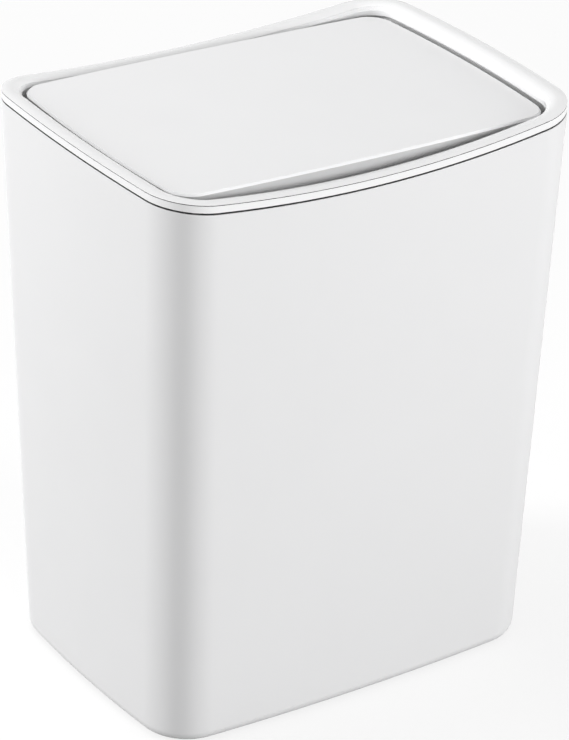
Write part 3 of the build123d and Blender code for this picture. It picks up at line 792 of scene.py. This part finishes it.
def drawn_steel(name, colour, roughness, along):
    """Drawn or rolled steel with fine lines along one axis."""
    material, tree, shader = new_material(name)
    stretch = [1.0, 1.0, 1.0]
    stretch["XYZ".index(along)] = LINE_STRETCH
    lines = noise(tree, *DRAWN_LINES, stretch)
    feed(tree, shader, {
        "Metallic": 1.0,
        "Base Color": tinted(tree, lines, colour, LINE_CHANGE),
        "Roughness": spread(tree, lines, roughness - LINE_CHANGE, roughness + LINE_CHANGE)})
    bumped(tree, shader, lines, depth=0.02 * MM, strength=0.4)
    return material


def ground_ferrite(name):
    """Dark sintered magnet with a ground face."""
    material, tree, shader = new_material(name)
    specks = noise(tree, *SPECKS)
    feed(tree, shader, {
        "Base Color": tinted(tree, specks, FERRITE_GREY, SPECK_TINT),
        "Roughness": spread(tree, specks, low=0.38, high=0.62)})
    bumped(tree, shader, specks, depth=0.05 * MM, strength=0.6)
    return material


def body_white(finish):
    return moulded_plastic("body_white", finish, finish.body, roughness=0.46, depth=0.010 * MM)


def frame_white(finish):
    return moulded_plastic(
        "frame_white", finish, finish.cap, roughness=0.2, depth=0.001 * MM, coat=0.35)


def collar_white(finish, edge):
    # painted shade in the seam round the collar
    return moulded_plastic(
        "collar_white", finish, finish.collar, roughness=0.2, depth=0.001 * MM, coat=0.8,
        edge=edge, gap=(finish.seam_shade_reach, finish.seam_shade_depth))


def flap_white(finish):
    # painted shade on the flap's skirt and in the gap round it
    return moulded_plastic(
        "flap_white", finish, finish.flap, roughness=0.42, depth=0.008 * MM,
        gap=(finish.flap_shade_reach, finish.flap_shade_depth), sides=finish.skirt)


# Pieces

# Shares of the way from the middle at which rings fill the floor
TO_MIDDLE = (0.25, 0.5, 0.75)
# Mesh steps up the body's wall, round a hinge spring's coil, along its legs and round one turn
# of the latch spring
WALL_STEPS, COIL_STEPS, LEG_STEPS, TURN_STEPS = 12, 112, 8, 28
# Radius that the shown solids' edges are shaded with
SOFT_EDGE = 0.35 * MM


class Piece:
    """What the operators for the pieces share"""

    bl_options = {"REGISTER", "UNDO"}

    def execute(self, context):
        scene = context.scene
        self.make(scene.bin_sizes, scene.bin_flap, scene.bin_finishes)
        return {"FINISHED"}


class BodyShell(Piece, bpy.types.Operator):
    """The bucket with its rounded rim, its floor and the ring that it stands on"""

    bl_idname = "bin.body_shell"
    bl_label = "Body Shell"

    def make(self, sizes, flap, finish):
        form = BodyForm(sizes)
        lip, foot_edge, floor_edge = 0.5 * MM, 0.8 * MM, 6 * MM
        base_edge, foot_in = sizes.base_edge, sizes.base_edge + sizes.foot_width
        floor_top = sizes.foot_height + sizes.floor_thickness
        rim_drop = sizes.seam_gap / 2

        def rim(drop):
            return lambda y: seam(sizes, y) - rim_drop - drop

        def between(low, drop, share):
            return lambda y: low + (seam(sizes, y) - rim_drop - drop - low) * share

        rings = drawn_in(form.ring(sizes.wall + floor_edge, floor_top), TO_MIDDLE)
        rings += [
            form.ring(sizes.wall + floor_edge * s, floor_top + floor_edge * c)
            for s, c in quarter_turn(8)]
        rings += [
            form.ring(sizes.wall, between(floor_top + floor_edge, lip, i / WALL_STEPS))
            for i in range(1, WALL_STEPS + 1)]
        rings += [form.ring(sizes.wall - lip * c, rim(lip * s)) for s, c in quarter_turn(4, 1)]
        rings += [form.ring(lip * s, rim(lip * c)) for s, c in quarter_turn(4)]
        rings += [
            form.ring(0.0, between(base_edge, lip, i / WALL_STEPS))
            for i in range(WALL_STEPS - 1, -1, -1)]
        rings += [form.ring(base_edge * c, base_edge * s) for s, c in quarter_turn(12, 1)]
        rings += [form.ring(foot_in - foot_edge * s, foot_edge * c) for s, c in quarter_turn(3)]
        rings += [
            form.ring(foot_in + foot_edge * c, sizes.foot_height - foot_edge * s)
            for s, c in quarter_turn(3)]
        rings += drawn_in(form.ring(foot_in + foot_edge, sizes.foot_height), TO_MIDDLE[::-1])
        skin = Skin()
        made = skin.sheet(rings)
        skin.fill(reversed(made[0]))
        skin.fill(made[-1])
        reach = Vector((sizes.base_half_w - foot_in, sizes.base_half_d - foot_in))
        half, soft = sizes.rib_width / 2, sizes.rib_width / 6
        high = sizes.foot_height + foot_edge / 4
        skin.bar(Vector((0, -reach.y)), Vector((0, reach.y)), half, sizes.rib_lift, high, soft)
        for i in (-1, 0, 1):
            y = i * sizes.rib_step
            skin.bar(Vector((-reach.x, y)), Vector((reach.x, y)), half, sizes.rib_lift, high, soft)
        shell = skin.build("bin_shell", body_white(finish))
        even_faces(shell)
        place(shell, "bin", "bin_body")


class FrameCap(Piece, bpy.types.Operator):
    """The glossy cap of the lid frame, swept round the saddle-shaped rim"""

    bl_idname = "bin.frame_cap"
    bl_label = "Frame Cap"

    def make(self, sizes, flap, finish):
        cap = bpy.context.scene.bin_cap
        edge_end = Vector((cap.edge, cap.edge_top))
        step_top = Vector((cap.step_in, cap.step_foot + cap.step))
        lip_in = cap.inner_in - cap.lip
        spigot_end = cap.spigot_in + cap.spigot
        section = bend(Vector((0, cap.under)), Vector((0, cap.edge_top)), edge_end)
        section += arc_between(edge_end, Vector((cap.peak_in, cap.peak)), step_top, steps=14)
        section.append(Vector((cap.step_in + cap.step / 5, cap.step_foot)))
        section += bend(
            Vector((cap.inner_in - cap.edge, cap.inner_top)), Vector((cap.inner_in, cap.inner_top)),
            Vector((cap.inner_in, cap.inner_top - cap.edge)))
        section += [Vector(p) for p in (
            (cap.inner_in, cap.lip_bottom), (lip_in, cap.lip_bottom),
            (lip_in, cap.inner_top - cap.wall),
            (spigot_end, cap.peak - cap.wall), (spigot_end, cap.spigot_bottom),
            (cap.spigot_in, cap.spigot_bottom), (cap.spigot_in, cap.under))]
        path = [y for _, y in rim_outline(sizes, 0.0)]
        rings = []
        for p in section:
            plan = rim_outline(sizes, p.x)
            inward = max(0.0, (p.x - cap.peak_in) / (cap.inner_in - cap.peak_in))
            ring = []
            for (x, y), py in zip(plan, path):
                fall = (seam(sizes, py) - seam(sizes, y)) * cap.follow * min(1.0, inward)
                ring.append(Vector((x, y, seam(sizes, py) + p.y - fall)))
            rings.append(ring)
        skin = Skin()
        skin.sheet(rings, loop=True)
        piece = skin.build("frame_cap", frame_white(finish), sharp=40.0)
        even_faces(piece)
        place(piece, "lid_frame", "frame_bezel")


def flap_place(flap):
    """Where the flap's top face lies: its middle, and its tilt."""
    return (Matrix.Translation((0, 0, flap.mid_height))
            @ Matrix.Rotation(-flap.tilt, 4, "X"))


class FlapShell(Piece, bpy.types.Operator):
    """The flat top of the flap with its bevelled edge and its skirt"""

    bl_idname = "bin.flap_shell"
    bl_label = "Flap Shell"

    def make(self, sizes, flap, finish):
        turn = flap_place(flap)
        ramp, margin, soft, foot = 4 * MM, 2 * MM, 0.35 * MM, 0.5 * MM
        edge_low = -flap.bevel_down - margin
        top_rings = 10

        def skirt_low(y):
            share = min(1.0, max(0.0, (y - flap.back_cut + ramp) / ramp))
            return -(flap.skirt + (flap.back_skirt - flap.skirt) * share)

        def rise(y):
            return flap.front_rise * ((flap.half_d - y) / (2 * flap.half_d))**2

        def risen(level):
            return lambda y: level + rise(y)

        def down_skirt(share):
            return lambda y: (
                edge_low + rise(y) + (skirt_low(y) + foot - edge_low - rise(y)) * share)

        def ring(inset, level, share=1.0):
            return [
                turn @ Vector((
                    x * share, y * share, level(y * share) if callable(level) else level))
                for x, y in flap_outline(flap, sizes, inset)]

        edge = rounded([
            ((flap.bevel_in + margin, 0.0), 0), ((flap.bevel_in, 0.0), soft),
            ((0.0, -flap.bevel_down), soft), ((0.0, edge_low), 0)])
        rings = [
            ring(flap.bevel_in + margin, risen(0.0), i / top_rings) for i in range(1, top_rings)]
        rings += [ring(p.x, risen(p.y)) for p in edge]
        rings += [ring(0.0, down_skirt(share)) for share in (0.5, 1.0)]
        rings += [
            ring(foot * 0.3, lambda y: skirt_low(y) + foot * 0.3),
            ring(foot, skirt_low),
            ring(flap.skirt_wall - foot, skirt_low),
            ring(flap.skirt_wall, lambda y: skirt_low(y) + foot),
            ring(flap.skirt_wall, -flap.plate - foot),
            ring(flap.skirt_wall + foot, -flap.plate),
            ring(flap.skirt_wall, -flap.plate, 0.5),
        ]
        skin = Skin()
        made = skin.sheet(rings)
        skin.fill(reversed(made[0]))
        skin.fill(made[-1])
        shell = skin.build("flap_shell", flap_white(finish), sharp=30.0)
        even_faces(shell)
        place(shell, "flap", "flap_cover")


class Springs(Piece, bpy.types.Operator):
    """The two wound springs of the hinge and the spring under the latch"""

    bl_idname = "bin.springs"
    bl_label = "Springs"

    def make(self, sizes, flap, finish):
        fit = bpy.context.scene.bin_fittings
        steel = drawn_steel("spring_wire", SPRING_GREY, roughness=0.3, along="X")
        for side, name in ((-1, "left"), (1, "right")):
            self.hinge_spring(fit, steel, side, name)
        self.latch_spring(fit, steel)

    def hinge_spring(self, fit, steel, side, name):
        inner = fit.hinge_outer - fit.hinge_pitch * fit.hinge_wind / (2 * math.pi)
        coil = []
        for i in range(COIL_STEPS + 1):
            turned = fit.hinge_wind * i / COIL_STEPS
            angle = turned - math.pi / 2
            coil.append(Vector((
                inner + fit.hinge_pitch * turned / (2 * math.pi),
                fit.hinge_coil * math.cos(angle), fit.hinge_coil * math.sin(angle))))
        lead = (coil[1] - coil[0]).normalized()
        tail = (coil[-1] - coil[-2]).normalized()
        drop = (hinge.z + coil[-1].z - bracket_low.z - fit.hinge_wire / 2 - fit.leg_lift) / -tail.z
        points = [coil[0] - lead * fit.moving_leg * (1 - i / LEG_STEPS) for i in range(LEG_STEPS)]
        points += coil
        points += [coil[-1] + tail * drop * i / LEG_STEPS for i in range(1, LEG_STEPS + 1)]
        skin = Skin()
        skin.wire(
            [Vector((side * p.x, hinge.y + p.y, hinge.z + p.z)) for p in points],
            fit.hinge_wire / 2)
        spring = skin.build("hinge_spring_wound_" + name, steel)
        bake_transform(spring)
        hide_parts("hinge_spring_" + name)

    def latch_spring(self, fit, steel):
        middle = (latch_coil_low + latch_coil_high) / 2
        half = fit.latch_wire / 2
        low, high = latch_coil_low.z + half, latch_coil_high.z - half
        # The first and last turns lie all but closed
        closed = fit.latch_wire * 1.04
        pitch = (high - low - 2 * closed) / (fit.latch_turns - 2)
        points = []
        for i in range(fit.latch_turns * TURN_STEPS + 1):
            turn = i / TURN_STEPS
            from_end = fit.latch_turns - turn
            height = low + closed + (turn - 1) * pitch
            if turn < 1:
                height = low + turn * closed
            elif from_end < 1:
                height = high - from_end * closed
            angle = 2 * math.pi * turn
            points.append(Vector((
                middle.x + fit.latch_coil * math.cos(angle),
                middle.y + fit.latch_coil * math.sin(angle), height)))
        skin = Skin()
        skin.wire(points, half)
        spring = skin.build("latch_spring_wound", steel)
        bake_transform(spring)
        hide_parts("latch_spring")


# Directions round one quarter of a cross recess, in degrees, close together at its corners
RECESS_TURNS = (0, 7, 13.4, 20, 30, 45, 60, 70, 76.6, 83)
# Length and half width of its arms, as shares of the head's radius
RECESS_ARM, RECESS_HALF = 0.55, 0.13
# Rings of one turn of thread: shares of the shank's radius and of the pitch
THREAD = ((1.0, 0.35), (0.97, 0.5), (0.8, 0.85))
THREAD_PITCH = 0.9 * MM
# Radii under the thread and at the tip, as shares of the shank's radius
THREAD_ROOT, SHANK_TIP = 0.8, 0.3


def pan_head_screw(skin, fit, turn, length):
    """Adds a screw with a cross recess: its head stands on z 0 of turn and its shank goes down."""
    angles = [math.radians(90 * quarter + a) for quarter in range(4) for a in RECESS_TURNS]
    arm, half = fit.head_radius * RECESS_ARM, fit.head_radius * RECESS_HALF

    def cross(share):
        def radius(angle):
            off = angle % (math.pi / 2)
            off = min(off, math.pi / 2 - off)
            on_end = math.tan(off) <= half / arm + 0.001
            return (arm / math.cos(off) if on_end else half / math.sin(off)) * share
        return radius

    def ring(radius, z):
        radii = [radius(a) if callable(radius) else radius for a in angles]
        return [
            turn @ Vector((r * math.cos(a), r * math.sin(a), z)) for r, a in zip(radii, angles)]

    shank, pitch = fit.shank_radius, THREAD_PITCH
    rings = [ring(shank * SHANK_TIP, -length), ring(shank * THREAD_ROOT, -length + pitch)]
    for i in range(int((length - 2 * pitch) / pitch)):
        low = -length + pitch * (i + 1.1)
        rings += [ring(shank * share, low + pitch * up) for share, up in THREAD]
    rings.append(ring(shank * THREAD_ROOT, 0.0))
    head, top = fit.head_radius, fit.head_height
    soft = top * 0.4
    rings += [ring(head - soft / 4, 0.0), ring(head, soft / 4)]
    rings += [ring(p.x, p.y) for p in bend(
        Vector((head, top - soft)), Vector((head, top)), Vector((head - soft, top)))]
    # The recess: a small bevel at its mouth, then narrower down to its floor
    rings += [
        ring(cross(1.06), top), ring(cross(1.0), top - 0.06 * MM), ring(cross(0.8), top * 0.35)]
    made = skin.sheet(rings)
    skin.fill(reversed(made[0]))
    skin.fill(made[-1])


def driven_in(i, first, step):
    """Turn of a screw's recess: each one stopped at another angle, in degrees."""
    return Matrix.Rotation(math.radians(first + step * i), 4, "Z")


class Screws(Piece, bpy.types.Operator):
    """Pan head screws of the hinge brackets, the latch and the flap"""

    bl_idname = "bin.screws"
    bl_label = "Screws"

    def make(self, sizes, flap, finish):
        fit = bpy.context.scene.bin_fittings
        zinc = drawn_steel("zinc_plate", (0.62, 0.62, 0.64), roughness=0.36, along="Z")
        for node in ("bracket_screws", "latch_screws"):
            low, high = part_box(node)
            seat = high.z - fit.head_height
            y = (low.y + high.y) / 2
            outer = high.x - fit.head_radius
            places = [outer]
            if node == "bracket_screws":
                places.append(bracket_low.x + bracket_high.x - outer)
            skin = Skin()
            for i, x in enumerate([side * x for side in (-1, 1) for x in places]):
                stand = Matrix.Translation((x, y, seat)) @ driven_in(i, 23, 31)
                pan_head_screw(skin, fit, stand, fit.shank)
            self.put(skin, node, zinc, "lid_frame")
        low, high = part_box("liner_screws")
        turn = flap_place(flap)
        back = turn.inverted()
        front_head, back_head = back @ Vector((0, low.y, high.z)), back @ Vector((0, high.y, low.z))
        first, last = front_head.y + fit.head_radius, back_head.y - fit.head_radius
        seat = back_head.z + fit.head_height
        x = high.x - fit.head_radius
        over = Matrix.Rotation(math.pi, 4, "X")
        skin = Skin()
        for i, (side, y) in enumerate(
                [(side, y) for side in (-1, 1) for y in (first, (first + last) / 2, last)]):
            stand = turn @ Matrix.Translation((side * x, y, seat)) @ over @ driven_in(i, 11, 37)
            pan_head_screw(skin, fit, stand, fit.liner_shank)
        self.put(skin, "liner_screws", zinc, "flap")

    def put(self, skin, node, zinc, body):
        screws = skin.build("cross_" + node, zinc, sharp=30.0)
        place(screws, body, node)


class CarriedPieces(Piece, bpy.types.Operator):
    """Finishes of the pieces that are shown as they are"""

    bl_idname = "bin.carried_pieces"
    bl_label = "Carried Pieces"

    def make(self, sizes, flap, finish):
        spring = drawn_steel("clip_steel", SPRING_GREY, roughness=0.3, along="X")
        sheet = drawn_steel("strike_sheet", (0.6, 0.6, 0.62), roughness=0.35, along="X")
        rod = drawn_steel("drawn_rod", (0.62, 0.62, 0.63), roughness=0.25, along="X")
        grey = moulded_plastic(
            "grey_acetal", finish, finish.latch, roughness=0.4, depth=0.006 * MM, edge=SOFT_EDGE)
        finishes = {
            "frame_collar": collar_white(finish, SOFT_EDGE),
            "flap_liner": moulded_plastic(
                "liner_white", finish, finish.liner, roughness=0.5, depth=0.01 * MM,
                edge=SOFT_EDGE),
            "hinge_bracket_left": grey,
            "hinge_bracket_right": grey,
            "latch_housing": grey,
            "latch_cover": grey,
            "latch_plunger": moulded_plastic(
                "plunger_white", finish, finish.plunger, roughness=0.35, depth=0.004 * MM,
                edge=SOFT_EDGE),
            "latch_magnet": ground_ferrite("ferrite"),
            "strike_plate": sheet,
            "strike_rivets": sheet,
            "hinge_rod": rod,
            "rod_clips": spring,
            "latch_pin": spring,
        }
        for node, material in finishes.items():
            slots = frame["nodes"][node].data.materials
            slots.clear()
            slots.append(material)


# Studio

# Width in millimetres that the focal length is written for
SENSOR = 36.0
CLIP_END = 50.0
# Height that the lamps look at
LAMP_TARGET = Vector((0, 0, 0.2))
# The floor: half its side, how far it lies under the bin, and where its white fades in
FLOOR_HALF, FLOOR_DROP = 4.0, 0.1 * MM
FADE_START, FADE_END = 0.6, 3.2
WHITE = (1, 1, 1, 1)


def camera_axes(studio):
    """Right, up and back directions of the camera."""
    back = Vector((
        math.sin(studio.azimuth) * math.cos(studio.elevation),
        -math.cos(studio.azimuth) * math.cos(studio.elevation),
        math.sin(studio.elevation)))
    level = Vector((0, 0, 1)).cross(back).normalized()
    upright = back.cross(level)
    c, s = math.cos(studio.roll), math.sin(studio.roll)
    return level * c + upright * s, upright * c - level * s, back


def white_for_camera(tree, plain, white):
    """Mixes a shader with plain white where the camera, a reflection or clear plastic shows it."""
    path = add_node(tree, "LightPath")
    seen = path.outputs["Is Camera Ray"]
    for ray in ("Is Glossy Ray", "Is Transmission Ray"):
        either = add_node(tree, "Math", {0: seen, 1: path.outputs[ray]}, operation="MAXIMUM")
        seen = either.outputs[0]
    mix = add_node(tree, "MixShader", {"Fac": seen, 1: plain, 2: white})
    return mix.outputs["Shader"]


def soft_lamp(name, plan, elevation, distance, power, size):
    """A square soft lamp that looks at the middle of the bin."""
    light = bpy.data.lights.new(name, "AREA")
    light.shape = "SQUARE"
    light.size = size
    light.energy = power
    obj = bpy.data.objects.new(name, light)
    bpy.context.scene.collection.objects.link(obj)
    plan, elevation = math.radians(plan), math.radians(elevation)
    direction = Vector((
        math.cos(elevation) * math.cos(plan), math.cos(elevation) * math.sin(plan),
        math.sin(elevation)))
    obj.location = LAMP_TARGET + direction * distance
    obj.rotation_mode = "QUATERNION"
    obj.rotation_quaternion = direction.to_track_quat("Z", "Y")
    return obj


# Plan angle from +X and elevation of each lamp in degrees, and its distance in metres
LAMPS = {
    "front_left": (-125.3, 14.0, 2.8),
    "front_high": (-125.3, 40.0, 2.8),
    "front_right": (-12.9, 14.0, 2.8),
    "right": (43.8, 14.0, 2.8),
    "top": (197.3, 75.2, 2.02),
}
# Lamps that would leave a hard reflection on the glossy cap
UNREFLECTED = ("top", "front_high")


class StudioStage(bpy.types.Operator):
    """Floor, soft lamps, pale surroundings and the camera"""

    bl_idname = "bin.studio_stage"
    bl_label = "Studio"
    bl_options = {"REGISTER", "UNDO"}

    def execute(self, context):
        scene = context.scene
        studio = scene.bin_studio
        scene.view_settings.view_transform = "Standard"
        self.camera(scene, studio)
        self.surroundings(scene, studio)
        self.floor(studio)
        for name, (plan, elevation, distance) in LAMPS.items():
            lamp = soft_lamp(
                name, plan, elevation, distance, getattr(studio, name), studio.lamp_size)
            lamp.visible_glossy = name not in UNREFLECTED
        return {"FINISHED"}

    def camera(self, scene, studio):
        right, up, back = camera_axes(studio)
        data = bpy.data.cameras.new("camera")
        data.lens = studio.lens
        data.sensor_width = SENSOR
        data.shift_x, data.shift_y = studio.shift_x, studio.shift_y
        data.clip_end = CLIP_END
        camera = bpy.data.objects.new("camera", data)
        scene.collection.objects.link(camera)
        matrix = Matrix((right, up, back)).transposed().to_4x4()
        matrix.translation = Vector((0, 0, studio.target_height)) + back * studio.distance
        camera.matrix_world = matrix
        scene.camera = camera

    def surroundings(self, scene, studio):
        world = bpy.data.worlds.new("surroundings")
        world.use_nodes = True
        tree = world.node_tree
        tree.nodes.clear()
        sky, white = [
            add_node(tree, "Background", {"Color": WHITE, "Strength": strength}).outputs[0]
            for strength in (studio.sky, 1.0)]
        add_node(tree, "OutputWorld", {"Surface": white_for_camera(tree, sky, white)})
        scene.world = world

    def floor(self, studio):
        near, far = -FLOOR_HALF, FLOOR_HALF
        mesh = bpy.data.meshes.new("floor")
        mesh.from_pydata(
            [(near, near, 0), (far, near, 0), (far, far, 0), (near, far, 0)], [], [(0, 1, 2, 3)])
        obj = bpy.data.objects.new("floor", mesh)
        bpy.context.scene.collection.objects.link(obj)
        obj.location.z = -FLOOR_DROP
        material, tree, shader = new_material("floor_paper")
        grey = (studio.floor_colour,) * 3 + (1,)
        feed(tree, shader, {"Base Color": grey, "Roughness": 0.9, "Specular IOR Level": 0.0})
        coords = add_node(tree, "TexCoord")
        away = add_node(tree, "VectorMath", {0: coords.outputs["Object"]}, operation="LENGTH")
        fade = add_node(tree, "MapRange", {
            "Value": away.outputs["Value"], "From Min": FADE_START, "From Max": FADE_END,
            "To Min": studio.floor_white, "To Max": 1.0}, interpolation_type="SMOOTHSTEP")
        glow = add_node(tree, "Emission", {"Strength": fade.outputs["Result"]})
        both = add_node(tree, "AddShader", {0: shader.outputs[0], 1: glow.outputs[0]})
        surface = white_for_camera(tree, shader.outputs[0], both.outputs[0])
        tree.links.new(surface, tree.nodes["Material Output"].inputs["Surface"])
        mesh.materials.append(material)


PIECES = (BodyShell, FrameCap, FlapShell, Springs, Screws, CarriedPieces)


class BinPanel(bpy.types.Panel):
    """The operators of the bin, in the 3D view's sidebar"""

    bl_idname = "VIEW3D_PT_touch_top_bin"
    bl_label = "Touch Top Bin"
    bl_space_type = "VIEW_3D"
    bl_region_type = "UI"
    bl_category = "Touch Top Bin"

    def draw(self, context):
        column = self.layout.column(align=True)
        for piece in PIECES:
            column.operator(piece.bl_idname)
        self.layout.operator(StudioStage.bl_idname)


GROUPS = {
    "bin_sizes": BinSizes,
    "bin_cap": CapSizes,
    "bin_flap": FlapSizes,
    "bin_fittings": Fittings,
    "bin_finishes": Finishes,
    "bin_studio": Studio,
}


def register():
    for group in GROUPS.values():
        bpy.utils.register_class(group)
    for piece in PIECES:
        bpy.utils.register_class(piece)
    bpy.utils.register_class(StudioStage)
    bpy.utils.register_class(BinPanel)
    for name, group in GROUPS.items():
        setattr(bpy.types.Scene, name, PointerProperty(type=group))


def unregister():
    for name in GROUPS:
        delattr(bpy.types.Scene, name)
    bpy.utils.unregister_class(BinPanel)
    bpy.utils.unregister_class(StudioStage)
    for piece in reversed(PIECES):
        bpy.utils.unregister_class(piece)
    for group in reversed(GROUPS.values()):
        bpy.utils.unregister_class(group)


def main():
    register()
    bpy.ops.bin.body_shell()
    bpy.ops.bin.frame_cap()
    bpy.ops.bin.flap_shell()
    bpy.ops.bin.springs()
    bpy.ops.bin.screws()
    bpy.ops.bin.carried_pieces()
    bpy.ops.bin.studio_stage()


if __name__ == "__main__":
    main()
